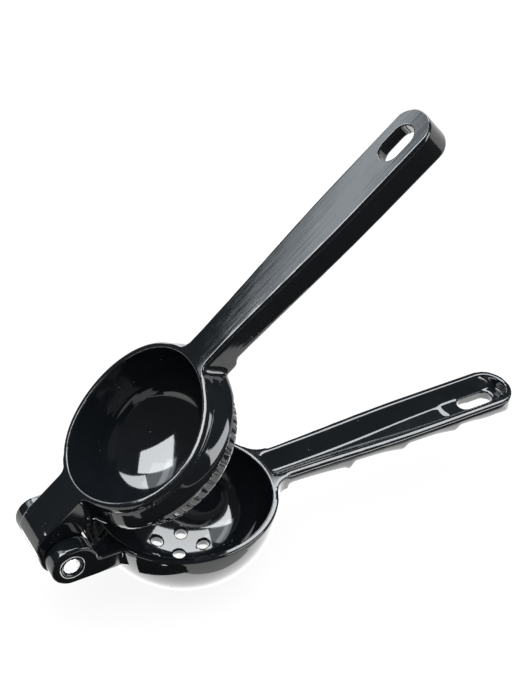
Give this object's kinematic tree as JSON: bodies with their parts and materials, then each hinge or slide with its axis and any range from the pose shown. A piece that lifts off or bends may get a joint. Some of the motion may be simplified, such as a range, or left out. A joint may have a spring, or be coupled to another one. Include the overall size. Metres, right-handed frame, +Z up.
{
  "type": "hinged lemon squeezer",
  "caption": "Hand squeezer with a strainer bowl on one lever arm and a ribbed press cup on the other, joined by a pin at one end.",
  "frame": {"origin": "centre of the bowl's flat underside, the face it stands on", "axes": "+Z up along the bowl's axis, +X along the lower handle away from the hinge, +Y along the hinge pin"},
  "size_m": [0.2107, 0.072, 0.1716],
  "materials": {
    "coat": "glossy near-black enamel over a cast aluminium body",
    "pin_steel": "bare bright steel with a plain turned end"
  },
  "bodies": {
    "lower": {"lower_arm": "coat", "hinge_pin": "pin_steel"},
    "upper": {"upper_arm": "coat"}
  },
  "joints": [
    {"name": "squeeze", "type": "hinge", "parent": "lower", "child": "upper", "pos_m": [-0.0522, 0, 0.0327], "axis": [0, -1, 0], "range_deg": [-39.4, 110]}
  ]
}
